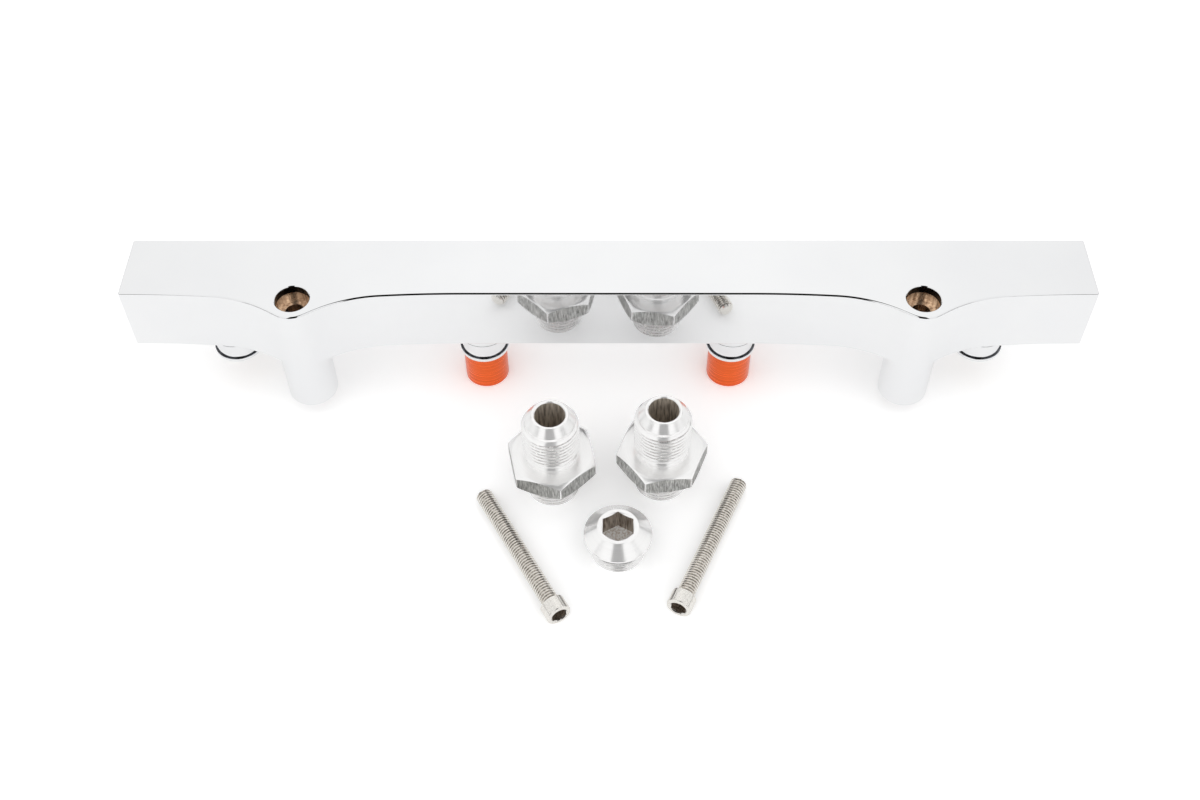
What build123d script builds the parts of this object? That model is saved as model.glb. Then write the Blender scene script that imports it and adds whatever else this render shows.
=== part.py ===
from build123d import *
import os
from math import atan2, cos, degrees, pi, radians, sin, tan

os.makedirs("parts", exist_ok=True)

# Fuel rail milled from one inch square bar, with two adapter sleeves in its inner cups, and its
# loose hardware beside it: two end fittings, a port plug and two mounting screws.
# Millimetres. The origin is midway between the two mounting holes, on the seat face of the legs.
# +X runs along the rail to the right port, +Y from the mounting bosses to the back, +Z up.

# --- rail bar -------------------------------------------------------------------------------
bar_size = 25.4
edge_break = 0.7
top_height = 46.5  # legs' seat face to the bar's top face
front_y = 2.2  # the bar's front face lies this far behind the line of the mounting holes

# --- mounting bosses and legs ----------------------------------------------------------------
hole_spacing = 209.0
screw_clearance_r = 3.3
counterbore_r = 5.75
counterbore_depth = 6.3
boss_r = 8.7
leg_edge_r = 0.8
flank_angle = 31.5  # slope of the straight flank beside the crown of a boss
tail_angle = 4.0  # slope where the tight hollow hands over to the long tail
hollow_r = 46.0
tail_r = 400.0
tail_to_end = 2.0  # straight front edge left between a boss's tail and the end of the bar

# --- injector cups -----------------------------------------------------------------------------
injector_spacing = 88.0
injector_count = 4
cup_r = 8.8
cup_shoulder_length = 6.0
cup_waist_r = 8.1
cup_waist_length = 6.65
cup_waist_corner = 0.15
cup_flange_height = 1.3
cup_bore_r = 7.0
cup_bore_depth = 14.0
cup_lead_in = 0.75
feed_drill_r = 4.0

# --- fuel gallery and end ports, M18 x 1.5 with an O-ring seat ------------------------------------
gallery_r = 7.0
port_major_r = 9.0
port_minor_r = 8.2
port_depth = 14.5
port_seat_r = 9.9
port_seat_depth = 2.4
port_seat_angle = 15.0

# --- adapter sleeve in each inner cup ----------------------------------------------------------
sleeve_r = 7.75
sleeve_length = 14.95  # below the cup's flange
sleeve_bore_r = 5.5
sleeve_bore_depth = 12.0
sleeve_lead_in = 0.8
sleeve_feed_r = 4.0
spigot_clearance = 0.15
spigot_length = 9.5
spigot_groove_at = 4.2  # from the flange face to the groove
seal_section = 1.38
seal_squeeze_gap = 0.02

# --- end fitting: M18 x 1.5 stud end, hexagon, 37 degree flare end with 3/4-16 thread ----------------
fitting_bore_r = 5.0
stud_length = 12.1
stud_groove_r = 7.7
fitting_seal_size = 2.2
hex_flats = 27.0
hex_height = 7.4
hex_bevel = 1.5
hex_bevel_angle = 30.0
flare_length = 20.0
flare_thread_r = 9.525
flare_nose_r = 6.1
flare_angle = 37.0
flare_base_r = 8.3
flare_land = 1.1
flare_thread_lead = 0.8
relief_r = 8.4
relief_height = 3.1
collar_r = 9.0
collar_height = 1.5
left_fitting_at = (-18.57, -37.0)
left_fitting_turn = 42.3
right_fitting_at = (18.33, -35.0)
right_fitting_turn = 8.0

# --- port plug -------------------------------------------------------------------------------------
plug_head_r = 11.25
plug_top_r = 6.8
plug_height = 14.4
plug_rim_at = 10.5
plug_lip = 1.0
plug_socket_flats = 10.0
plug_socket_depth = 8.0
plug_socket_mouth_r = 5.7
plug_at = (3.53, -63.4)

# --- mounting screw, M6 x 50 socket head -----------------------------------------------------------
screw_r = 2.97
screw_length = 50.0
screw_point = 0.75
screw_head_r = 4.25
screw_head_height = 5.2
screw_head_edge = 0.5
screw_socket_flats = 5.0
screw_socket_depth = 3.0
left_screw_tip = (-42.2, -42.7)
left_screw_heading = -60.6
right_screw_tip = (45.1, -37.7)
right_screw_heading = -114.0

# --- levels that follow ------------------------------------------------------------------------------
bar_bottom = top_height - bar_size
gallery_z = bar_bottom + bar_size / 2
cup_y = front_y + bar_size / 2
cup_bottom = bar_bottom - cup_shoulder_length - cup_waist_length - cup_flange_height
bench_z = cup_bottom - sleeve_length  # the surface that the sleeves and loose pieces stand on
injector_xs = [(i - (injector_count - 1) / 2) * injector_spacing for i in range(injector_count)]
sleeve_xs = injector_xs[1:3]
boss_xs = [-hole_spacing / 2, hole_spacing / 2]
flank_slope, tail_slope = radians(flank_angle), radians(tail_angle)
bell_rise = (
    boss_r * cos(flank_slope)
    + front_y
    - hollow_r * (cos(tail_slope) - cos(flank_slope))
    - tail_r * (1 - cos(tail_slope))
)
flank_length = bell_rise / sin(flank_slope)
bell_half_width = (
    boss_r * sin(flank_slope)
    + flank_length * cos(flank_slope)
    + hollow_r * (sin(flank_slope) - sin(tail_slope))
    + tail_r * sin(tail_slope)
)
rail_length = hole_spacing + 2 * (bell_half_width + tail_to_end)
port_seat_end_r = port_seat_r - port_seat_depth * tan(radians(port_seat_angle))
port_wall_start = port_seat_depth + port_seat_end_r - port_minor_r


def turned(*points):
    """Revolves a closed outline of (radius, height) points about Z."""
    outline = Plane.XZ * make_face(Polyline(*points, close=True))
    return revolve(outline, Axis.Z)


def hex_prism(flats, height, turn=0.0):
    face = RegularPolygon(flats / 2, 6, major_radius=False, rotation=turn)
    return extrude(face, height)


def bell_front(start, centre_x):
    """Front edge of one boss, left to right: long tail, tight hollow, flank, crown and back again."""
    lead = Line(start, (centre_x - bell_half_width, front_y))
    tail_in = JernArc(lead @ 1, lead % 1, tail_r, -tail_angle)
    hollow_in = JernArc(tail_in @ 1, tail_in % 1, hollow_r, tail_angle - flank_angle)
    flank_in = Line(hollow_in @ 1, hollow_in @ 1 + (hollow_in % 1) * flank_length)
    crown = JernArc(flank_in @ 1, flank_in % 1, boss_r, 2 * flank_angle)
    flank_out = Line(crown @ 1, crown @ 1 + (crown % 1) * flank_length)
    hollow_out = JernArc(flank_out @ 1, flank_out % 1, hollow_r, tail_angle - flank_angle)
    tail_out = JernArc(hollow_out @ 1, hollow_out % 1, tail_r, -tail_angle)
    return [lead, tail_in, hollow_in, flank_in, crown, flank_out, hollow_out, tail_out]


def bar_blank():
    """The bar with its two bell-shaped bosses, one outline extruded over the full bar height."""
    half, back_y = rail_length / 2, front_y + bar_size
    left = bell_front((-half, front_y), boss_xs[0])
    right = bell_front(left[-1] @ 1, boss_xs[1])
    end = Line(right[-1] @ 1, (half, front_y))
    rest = Polyline((half, front_y), (half, back_y), (-half, back_y), (-half, front_y))
    outline = make_face(Curve() + [*left, *right, end, rest])
    bar = extrude(Pos(0, 0, bar_bottom) * outline, bar_size)
    corners = bar.edges().filter_by(Axis.Z).filter_by(lambda e: abs(abs(e.center().X) - half) < 0.1)
    bar = fillet(corners, edge_break)
    rims = bar.edges().filter_by(GeomType.LINE, reverse=True) + bar.edges().filter_by(GeomType.LINE)
    level = [e for e in rims if abs(e.bounding_box().size.Z) < 0.01]
    return fillet(level, edge_break)


def leg():
    """Round leg under a boss, down to the seat face."""
    post = extrude(Circle(boss_r), bar_bottom + edge_break)
    return fillet(post.edges().sort_by(Axis.Z)[0], leg_edge_r)


def cup():
    """Outside of an injector cup below the bar: shoulder, waist for the clip, and flange."""
    waist_top = bar_bottom - cup_shoulder_length
    waist_foot = waist_top - cup_waist_length
    shape = turned(
        (0, bar_bottom + edge_break),
        (cup_r, bar_bottom + edge_break),
        (cup_r, waist_top),
        (cup_waist_r, waist_top),
        (cup_waist_r, waist_foot),
        (cup_r, waist_foot),
        (cup_r, cup_bottom),
        (0, cup_bottom),
    )
    rings = shape.edges().filter_by(GeomType.CIRCLE)
    shape = fillet([e for e in rings if abs(e.radius - cup_waist_r) < 0.01], cup_waist_corner)
    outer = [e for e in shape.edges().filter_by(GeomType.CIRCLE) if abs(e.radius - cup_r) < 0.01]
    return fillet([e for e in outer if e.center().Z < bar_bottom - 0.1], 0.15)


def cup_bore():
    """Injector bore with its lead-in, and the feed drilling up into the gallery."""
    return turned(
        (0, cup_bottom - 1),
        (cup_bore_r + cup_lead_in + 1, cup_bottom - 1),
        (cup_bore_r + cup_lead_in, cup_bottom),
        (cup_bore_r, cup_bottom + cup_lead_in),
        (cup_bore_r, cup_bottom + cup_bore_depth),
        (feed_drill_r, cup_bottom + cup_bore_depth + 0.8),
        (feed_drill_r, gallery_z),
        (0, gallery_z),
    )


def mounting_bore():
    """Stepped hole for a screw: clearance through the leg, counterbore in the top face."""
    shank = Pos(0, 0, -1) * extrude(Circle(screw_clearance_r), top_height + 2)
    seat = Pos(0, 0, top_height - counterbore_depth) * extrude(Circle(counterbore_r), counterbore_depth + 1)
    return shank + seat


def port_bore():
    """One end port, cut along +Z from a mouth at height 0 downwards, with its O-ring seat."""
    return turned(
        (0, 1),
        (port_seat_r + 1, 1),
        (port_seat_r + 1, 0),
        (port_seat_r, 0),
        (port_seat_end_r, -port_seat_depth),
        (port_minor_r, -port_wall_start),
        (port_minor_r, -port_depth),
        (gallery_r, -port_depth - port_minor_r + gallery_r),
        (0, -port_depth - port_minor_r + gallery_r),
    )


def rail_body():
    body = bar_blank()
    for x in boss_xs:
        body += Pos(x, 0, 0) * leg()
    for x in injector_xs:
        body += Pos(x, cup_y, 0) * cup()
    gallery = Cylinder(gallery_r, rail_length, rotation=(0, 90, 0))
    body -= Pos(0, cup_y, gallery_z) * gallery
    body -= Pos(rail_length / 2, cup_y, gallery_z) * Rot(0, 90, 0) * port_bore()
    body -= Pos(-rail_length / 2, cup_y, gallery_z) * Rot(0, -90, 0) * port_bore()
    for x in injector_xs:
        body -= Pos(x, cup_y, 0) * cup_bore()
    for x in boss_xs:
        body -= Pos(x, 0, 0) * mounting_bore()
    return body


# O-rings are drawn as they sit, squeezed between groove floor and bore.
seal_height = 1.9
groove_height = seal_height + 0.4


def injector_sleeve():
    """Adapter sleeve: body below the cup's flange, grooved spigot in the cup, stepped bore."""
    spigot_r = cup_bore_r - spigot_clearance
    groove_r = cup_bore_r - seal_squeeze_gap - seal_section
    low, high = -sleeve_length, spigot_length
    return turned(
        (sleeve_bore_r + sleeve_lead_in, low),
        (sleeve_r - 0.3, low),
        (sleeve_r, low + 0.3),
        (sleeve_r, -0.3),
        (sleeve_r - 0.3, 0),
        (spigot_r, 0),
        (spigot_r, spigot_groove_at),
        (groove_r, spigot_groove_at),
        (groove_r, spigot_groove_at + groove_height),
        (spigot_r, spigot_groove_at + groove_height),
        (spigot_r, high - 0.6),
        (spigot_r - 0.6, high),
        (sleeve_feed_r, high),
        (sleeve_feed_r, low + sleeve_bore_depth + 0.8),
        (sleeve_bore_r, low + sleeve_bore_depth),
        (sleeve_bore_r, low + sleeve_lead_in),
    )


def squeezed_ring(inner_r, outer_r, height):
    """O-ring pressed between two cylinders: a section with full rounds above and below."""
    width = outer_r - inner_r
    section = RectangleRounded(width, height, min(width, height) * 0.42)
    return revolve(Plane.XZ * Pos((inner_r + outer_r) / 2, height / 2) * section, Axis.Z)


def sleeve_o_ring():
    inner = cup_bore_r - seal_squeeze_gap - seal_section
    ring = squeezed_ring(inner, inner + seal_section, seal_height)
    return Pos(0, 0, spigot_groove_at + (groove_height - seal_height) / 2) * ring


def bevelled_hex():
    """The fitting's hexagon, both ends turned to a cone that leaves arcs on the flats."""
    corner_r = hex_flats / 2 / cos(pi / 6)
    face_r = corner_r - hex_bevel / tan(radians(hex_bevel_angle))
    turning = turned(
        (0, 0),
        (face_r, 0),
        (corner_r, hex_bevel),
        (corner_r, hex_height - hex_bevel),
        (face_r, hex_height),
        (0, hex_height),
    )
    return hex_prism(hex_flats, hex_height) & turning


def end_fitting():
    """Straight adapter standing on its stud end: stud, hexagon, relief, flare thread and nose."""
    hex_top = stud_length + hex_height
    total = hex_top + flare_length
    base_z = total - (flare_base_r - flare_nose_r) / tan(radians(flare_angle))
    thread_z = base_z - flare_land - flare_thread_lead
    groove = fitting_seal_size + 0.3
    spine = turned(
        (0, 0),
        (port_major_r - 1.0, 0),
        (port_major_r, 1.0),
        (port_major_r, stud_length - groove - 0.8),
        (stud_groove_r, stud_length - groove),
        (stud_groove_r, stud_length + 0.5),
        (collar_r, stud_length + 0.5),
        (collar_r, hex_top + collar_height),
        (relief_r, hex_top + collar_height + 0.4),
        (relief_r, hex_top + relief_height),
        (flare_thread_r, hex_top + relief_height + 0.9),
        (flare_thread_r, thread_z),
        (flare_base_r, thread_z + flare_thread_lead),
        (flare_base_r, base_z),
        (flare_nose_r, total),
        (0, total),
    )
    body = spine + Pos(0, 0, stud_length) * bevelled_hex()
    bore = turned(
        (0, -1),
        (fitting_bore_r + 1.5, -1),
        (fitting_bore_r, 0.5),
        (fitting_bore_r, total - 0.3),
        (fitting_bore_r + 1.3, total + 1),
        (0, total + 1),
    )
    return body - bore


def fitting_o_ring():
    """O-ring in the stud's groove, against the underside of the hexagon."""
    torus_r = fitting_seal_size / 2
    ring = Torus(stud_groove_r + torus_r + 0.03, torus_r)
    return Pos(0, 0, stud_length - torus_r - 0.03) * ring


def port_plug():
    """Plug for an end port: threaded shank, conical head with a lip, hexagon socket."""
    head_z = plug_rim_at - plug_lip
    groove = fitting_seal_size + 0.3
    turning = turned(
        (0, 0),
        (port_major_r - 1.0, 0),
        (port_major_r, 1.0),
        (port_major_r, head_z - groove - 0.8),
        (stud_groove_r, head_z - groove),
        (stud_groove_r, head_z),
        (plug_head_r - 0.2, head_z),
        (plug_head_r, head_z + 0.2),
        (plug_head_r, plug_rim_at),
        (plug_top_r + 0.25, plug_height - 0.2),
        (plug_top_r, plug_height),
        (0, plug_height),
    )
    floor = plug_height - plug_socket_depth
    socket = Pos(0, 0, floor) * hex_prism(plug_socket_flats, plug_socket_depth + 1, turn=90)
    corner_r = plug_socket_flats / 2
    mouth = turned(
        (0, plug_height - (plug_socket_mouth_r - corner_r) * 0.6),
        (corner_r, plug_height - (plug_socket_mouth_r - corner_r) * 0.6),
        (plug_socket_mouth_r, plug_height),
        (plug_socket_mouth_r, plug_height + 1),
        (0, plug_height + 1),
    )
    drill_tip = turned((0, floor - 1.4), (4.6, floor), (4.6, floor + 0.1), (0, floor + 0.1))
    return turning - socket - mouth - drill_tip


def plug_o_ring():
    torus_r = fitting_seal_size / 2
    ring = Torus(stud_groove_r + torus_r + 0.03, torus_r)
    return Pos(0, 0, plug_rim_at - plug_lip - torus_r - 0.03) * ring


def mounting_screw():
    """Socket head screw along +Z, point at height 0, thread drawn as its major cylinder."""
    top = screw_length + screw_head_height
    turning = turned(
        (0, 0),
        (screw_r - screw_point, 0),
        (screw_r, screw_point),
        (screw_r, screw_length),
        (screw_head_r, screw_length),
        (screw_head_r, top - screw_head_edge),
        (screw_head_r - screw_head_edge, top),
        (0, top),
    )
    floor = top - screw_socket_depth
    socket = Pos(0, 0, floor) * hex_prism(screw_socket_flats, screw_socket_depth + 1)
    mouth_r = screw_socket_flats / 2 / cos(pi / 6)
    mouth = turned((0, top - 0.3), (mouth_r - 0.3, top - 0.3), (mouth_r, top), (mouth_r, top + 1), (0, top + 1))
    return turning - socket - mouth


def laid_screw(tip, heading):
    """The screw at rest on the bench: its point and the edge under its head both touch."""
    lean = atan2(screw_head_r - screw_r, screw_length - screw_point)
    lift = screw_r * cos(lean) + screw_point * sin(lean)
    flat = Rot(0, 90 - degrees(lean), 0) * mounting_screw()
    return Pos(tip[0], tip[1], bench_z + lift) * Rot(0, 0, heading) * flat


def standing(shape, at, turn=0.0):
    return Pos(at[0], at[1], bench_z) * Rot(0, 0, turn) * shape


nodes = {"rail_body": rail_body()}
for side, x in zip(("left", "right"), sleeve_xs):
    nodes["injector_sleeve_" + side] = Pos(x, cup_y, cup_bottom) * injector_sleeve()
    nodes["sleeve_o_ring_" + side] = Pos(x, cup_y, cup_bottom) * sleeve_o_ring()
fitting_places = {
    "left": (left_fitting_at, left_fitting_turn),
    "right": (right_fitting_at, right_fitting_turn),
}
for side, (at, turn) in fitting_places.items():
    nodes["end_fitting_" + side] = standing(end_fitting(), at, turn)
    nodes["fitting_o_ring_" + side] = standing(fitting_o_ring(), at, turn)
nodes["port_plug"] = standing(port_plug(), plug_at)
nodes["plug_o_ring"] = standing(plug_o_ring(), plug_at)
nodes["mounting_screw_left"] = laid_screw(left_screw_tip, left_screw_heading)
nodes["mounting_screw_right"] = laid_screw(right_screw_tip, right_screw_heading)

for name, shape in nodes.items():
    export_step(shape, "parts/" + name + ".step")
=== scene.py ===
import bpy
import bmesh
from math import atan2, cos, pi, radians, sin, tan
from mathutils import Matrix, Vector


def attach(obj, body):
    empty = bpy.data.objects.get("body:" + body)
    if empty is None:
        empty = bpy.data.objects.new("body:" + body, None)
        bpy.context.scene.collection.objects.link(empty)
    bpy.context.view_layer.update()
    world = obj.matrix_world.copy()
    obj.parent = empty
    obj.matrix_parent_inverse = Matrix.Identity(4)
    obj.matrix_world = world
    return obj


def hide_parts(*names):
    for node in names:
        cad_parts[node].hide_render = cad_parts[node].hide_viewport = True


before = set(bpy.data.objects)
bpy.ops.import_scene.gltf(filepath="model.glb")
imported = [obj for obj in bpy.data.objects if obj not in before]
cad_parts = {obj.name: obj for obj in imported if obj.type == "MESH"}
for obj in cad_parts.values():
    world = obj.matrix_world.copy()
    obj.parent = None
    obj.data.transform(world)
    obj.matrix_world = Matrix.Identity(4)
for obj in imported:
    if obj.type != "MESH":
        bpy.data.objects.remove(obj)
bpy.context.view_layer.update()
print("frame loaded:", len(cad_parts), "nodes")

# meshes are shaped in millimetres, in the frame's own place, and scaled to metres when they are finished
millimetre = 0.001
overlap = 1.0  # how far joined shapes run into each other, and cuts run past a face
mergeGap = 0.0001
sliver = 0.0005  # widest leftover of a cut that is cleared away
turnSpan = 0.0016  # metres that one radian round a turned piece counts as in its marks
sharpAngle = 32.0
faceWeight = 60


def addNode(tree, kind, inputs=None, **settings):
    node = tree.nodes.new(kind)
    for key, value in settings.items():
        setattr(node, key, value)
    for key, value in (inputs or {}).items():
        node.inputs[key].default_value = value
    return node


def feed(tree, value, socket):
    # joins a socket to another one, or sets it to a plain value
    if isinstance(value, bpy.types.NodeSocket):
        tree.links.new(value, socket)
    else:
        socket.default_value = value


def maths(tree, operation, *values):
    node = addNode(tree, "ShaderNodeMath", operation=operation)
    for value, socket in zip(values, node.inputs):
        feed(tree, value, socket)
    return node.outputs["Value"]


def mapRange(tree, source, low, high, toLow, toHigh):
    node = addNode(tree, "ShaderNodeMapRange",
                   {"From Min": low, "From Max": high, "To Min": toLow, "To Max": toHigh})
    tree.links.new(source, node.inputs["Value"])
    return node.outputs["Result"]


def mixColours(tree, factor, first, second):
    node = addNode(tree, "ShaderNodeMix", data_type="RGBA")
    for colour, socket in ((first, "A"), (second, "B")):
        feed(tree, (*colour, 1) if isinstance(colour, tuple) else colour, node.inputs[socket])
    tree.links.new(factor, node.inputs["Factor"])
    return node.outputs["Result"]


def mixShaders(tree, factor, first, second):
    node = addNode(tree, "ShaderNodeMixShader")
    for output, socket in zip((factor, first.outputs[0], second.outputs[0]), node.inputs):
        tree.links.new(output, socket)
    return node.outputs[0]


def separated(tree, vector):
    parts = addNode(tree, "ShaderNodeSeparateXYZ")
    tree.links.new(vector, parts.inputs["Vector"])
    return parts.outputs["X"], parts.outputs["Y"], parts.outputs["Z"]


def joined(tree, *values):
    node = addNode(tree, "ShaderNodeCombineXYZ")
    for value, socket in zip(values, node.inputs):
        tree.links.new(value, socket)
    return node.outputs["Vector"]


def mapped(tree, vector, inputs):
    node = addNode(tree, "ShaderNodeMapping", inputs, vector_type="POINT")
    tree.links.new(vector, node.inputs["Vector"])
    return node.outputs["Vector"]


def centredCoords(tree, centre):
    coords = addNode(tree, "ShaderNodeTexCoord")
    return mapped(tree, coords.outputs["Object"], {"Location": [-c * millimetre for c in centre]})


def turningCoords(tree, vector):
    # distance from the axis, height along it and the way round it
    x, y, z = separated(tree, vector)
    distance = addNode(tree, "ShaderNodeVectorMath", operation="LENGTH")
    tree.links.new(joined(tree, x, y), distance.inputs[0])
    angle = maths(tree, "ARCTAN2", y, x)
    return joined(tree, distance.outputs["Value"], z, maths(tree, "MULTIPLY", angle, turnSpan))


def noise(tree, vector, scale, detail=2.0, roughness=0.5, stretch=None):
    if stretch:
        vector = mapped(tree, vector, {"Scale": stretch})
    node = addNode(tree, "ShaderNodeTexNoise", {"Scale": scale, "Detail": detail, "Roughness": roughness})
    tree.links.new(vector, node.inputs["Vector"])
    return node.outputs["Fac"]


# Marks blend a finish's two colours, and "blend" is where they begin and where they are full. The gloss
# and the relief follow the same marks where they have none of their own. Relief is strength and height.
paintedShadeMarks = {"metal": 1.0, "marks": {"scale": 500.0}, "blend": (0.4, 0.65)}
rootShadeMarks = {"metal": 1.0, "marks": {"scale": 900.0}, "blend": (0.4, 0.6), "roughness": (0.15, 0.3)}
streakMarks = {"marks": {"scale": 1500.0, "detail": 3.0, "stretch": (1, 1, 0.12)}, "blend": (0.38, 0.66),
               "relief": (0.4, 0.00005)}
finishes = {
    "mirrorChrome": {
        "tint": (0.92, 0.925, 0.93), "markTint": (0.895, 0.90, 0.91), "metal": 1.0, "roughness": (0.03, 0.06),
        "marks": {"scale": 28.0, "detail": 3.0}, "blend": (0.35, 0.7),
        "glossMarks": {"scale": 900.0, "stretch": (0.25, 1, 1)}, "glossBlend": (0.4, 0.8),
        "reliefMarks": {"scale": 160.0, "detail": 1.0}, "relief": (0.25, 0.00002),
    },
    # dark chrome painted where shade falls, in corners and bores: painted shade
    "paintedShadeChrome": {**paintedShadeMarks, "tint": (0.16, 0.165, 0.18), "markTint": (0.05, 0.05, 0.055),
                    "roughness": (0.16, 0.3)},
    "boreShade": {**paintedShadeMarks, "tint": (0.05, 0.04, 0.035), "markTint": (0.02, 0.017, 0.015),
                  "roughness": (0.3, 0.3)},
    "drilledBronze": {
        "tint": (0.97, 0.80, 0.64), "markTint": (0.50, 0.35, 0.25), "metal": 1.0, "roughness": (0.22, 0.4),
        "marks": {"scale": 900.0, "detail": 3.0, "stretch": (1, 1, 0.06)}, "blend": (0.42, 0.68),
        "reliefMarks": {"scale": 4000.0, "stretch": (0.1, 0.1, 1)}, "relief": (0.25, 0.00004),
    },
    "orangeAnodise": {
        "tint": (0.86, 0.125, 0.015), "markTint": (0.84, 0.119, 0.014), "metal": 0.6, "roughness": (0.24, 0.28),
        "marks": {"scale": 1500.0, "stretch": (1, 1, 0.05)}, "blend": (0.4, 0.6), "turned": True,
        "glossMarks": {"scale": 3600.0, "stretch": (1, 1, 0.05)}, "glossBlend": (0.35, 0.65),
        "relief": (0.12, 0.000012),
    },
    # its fine turned lines scatter part of the light like a matt surface
    "turnedAluminium": {
        "tint": (0.96, 0.955, 0.95), "markTint": (0.92, 0.915, 0.91), "metal": 0.62, "roughness": (0.09, 0.18),
        "marks": {"scale": 5200.0, "stretch": (1, 1, 0.03)}, "blend": (0.4, 0.65), "turned": True,
        "glossBlend": (0.35, 0.65), "relief": (0.7, 0.00004),
    },
    "sawnFlats": {
        "tint": (0.66, 0.66, 0.645), "markTint": (0.17, 0.17, 0.16), "metal": 1.0, "roughness": (0.38, 0.55),
        "marks": {"scale": 2400.0, "detail": 3.0, "roughness": 0.65, "stretch": (1, 1, 0.14)},
        "blend": (0.35, 0.65), "blendTo": (-0.25, 0.6), "blotches": {"scale": 420.0}, "blotchShare": 0.5,
        "relief": (0.5, 0.00006),
    },
    # painted shade in the floors of the threads, darker than their crests
    "threadRootShade.aluminium": {**rootShadeMarks, "tint": (0.58, 0.565, 0.555), "markTint": (0.78, 0.765, 0.755)},
    "threadRootShade.steel": {**rootShadeMarks, "tint": (0.36, 0.33, 0.295), "markTint": (0.68, 0.645, 0.605)},
    "rolledSteel": {
        "tint": (0.90, 0.88, 0.84), "markTint": (0.74, 0.71, 0.66), "metal": 1.0, "roughness": (0.12, 0.2),
        "marks": {"scale": 2600.0, "detail": 3.0}, "blend": (0.4, 0.7), "relief": (0.15, 0.00002),
    },
    "broachedSocket": {**streakMarks, "tint": (0.62, 0.56, 0.50), "markTint": (0.20, 0.16, 0.13), "metal": 1.0,
                       "roughness": (0.3, 0.45)},
    "drilledBore": {**streakMarks, "tint": (0.80, 0.72, 0.62), "markTint": (0.34, 0.29, 0.24), "metal": 0.6,
                    "roughness": (0.35, 0.45)},
    "socketFloor": {**streakMarks, "tint": (1.0, 0.99, 0.97), "markTint": (0.62, 0.53, 0.45), "metal": 0.0,
                    "roughness": (0.3, 0.45)},
    "sealRubber": {
        "tint": (0.018, 0.018, 0.02), "markTint": (0.045, 0.045, 0.047), "metal": 0.0, "roughness": (0.42, 0.6),
        "marks": {"scale": 900.0, "detail": 3.0}, "blend": (0.5, 0.8), "relief": (0.3, 0.00003),
    },
}


def makeFinish(kind, name=None, centre=(0, 0, 0)):
    look = finishes[kind]
    material = bpy.data.materials.new(name or kind)
    material.use_nodes = True
    tree = material.node_tree
    shader = tree.nodes["Principled BSDF"]
    coords = centredCoords(tree, centre)
    if look.get("turned"):
        coords = turningCoords(tree, coords)
    marks = noise(tree, coords, **look["marks"])
    gloss = noise(tree, coords, **look["glossMarks"]) if "glossMarks" in look else marks
    relief = noise(tree, coords, **look["reliefMarks"]) if "reliefMarks" in look else gloss
    blend = mapRange(tree, marks, *look["blend"], *look.get("blendTo", (0, 1)))
    if "blotches" in look:
        blotches = noise(tree, coords, **look["blotches"])
        blend = maths(tree, "MULTIPLY_ADD", blotches, look["blotchShare"], blend)
    colour = mixColours(tree, blend, look["tint"], look["markTint"])
    tree.links.new(colour, shader.inputs["Base Color"])
    shader.inputs["Metallic"].default_value = look["metal"]
    roughness = mapRange(tree, gloss, *look.get("glossBlend", (0.3, 0.7)), *look["roughness"])
    tree.links.new(roughness, shader.inputs["Roughness"])
    if "relief" in look:
        strength, height = look["relief"]
        bump = addNode(tree, "ShaderNodeBump", {"Strength": strength, "Distance": height})
        tree.links.new(relief, bump.inputs["Height"])
        tree.links.new(bump.outputs["Normal"], shader.inputs["Normal"])
    return material


def toObject(shape, name, material=None):
    mesh = bpy.data.meshes.new(name)
    shape.to_mesh(mesh)
    shape.free()
    made = bpy.data.objects.new(name, mesh)
    bpy.context.scene.collection.objects.link(made)
    if material:
        mesh.materials.append(material)
    return made


def openShape(thing):
    shape = bmesh.new()
    shape.from_mesh(thing.data)
    return shape


def closeShape(shape, thing):
    shape.to_mesh(thing.data)
    shape.free()


def applyAll(target):
    graph = bpy.context.evaluated_depsgraph_get()
    fresh = bpy.data.meshes.new_from_object(target.evaluated_get(graph))
    target.modifiers.clear()
    target.data = fresh


def combine(target, tool, operation):
    step = target.modifiers.new("combine", "BOOLEAN")
    step.operation = operation
    step.solver = "EXACT"
    step.material_mode = "TRANSFER"
    step.object = tool
    applyAll(target)
    # slivers would open the shell at the next cut
    shape = openShape(target)
    bmesh.ops.remove_doubles(shape, verts=shape.verts, dist=sliver)
    bmesh.ops.dissolve_degenerate(shape, edges=shape.edges, dist=sliver)
    bmesh.ops.recalc_face_normals(shape, faces=shape.faces)
    closeShape(shape, target)
    unwanted = tool.data
    bpy.data.objects.remove(tool)
    bpy.data.meshes.remove(unwanted)
    return target


def placed(thing, place=(0, 0, 0), turn=0.0):
    thing.data.transform(Matrix.Translation(place) @ Matrix.Rotation(radians(turn), 4, "Z"))
    return thing


def spinAboutZ(shape, geom, angle, steps, centre=(0, 0, 0), rise=0.0, merge=False):
    return bmesh.ops.spin(shape, geom=geom, cent=centre, axis=(0, 0, 1), dvec=(0, 0, rise), angle=angle,
                          steps=steps, use_merge=merge, use_duplicate=False)


def roundEdges(shape, edges, size, segments):
    return bmesh.ops.bevel(shape, geom=edges, offset=size, offset_type="OFFSET", segments=segments,
                           profile=0.5, affect="EDGES", material=-1, clamp_overlap=True)


def raiseFaces(shape, height):
    raised = bmesh.ops.extrude_face_region(shape, geom=shape.faces[:])
    tops = [g for g in raised["geom"] if isinstance(g, bmesh.types.BMVert)]
    bmesh.ops.translate(shape, verts=tops, vec=(0, 0, height))
    bmesh.ops.recalc_face_normals(shape, faces=shape.faces)


def uprightEdges(shape):
    return [e for e in shape.edges if abs(e.verts[0].co.z - e.verts[1].co.z) > 1]


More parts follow.
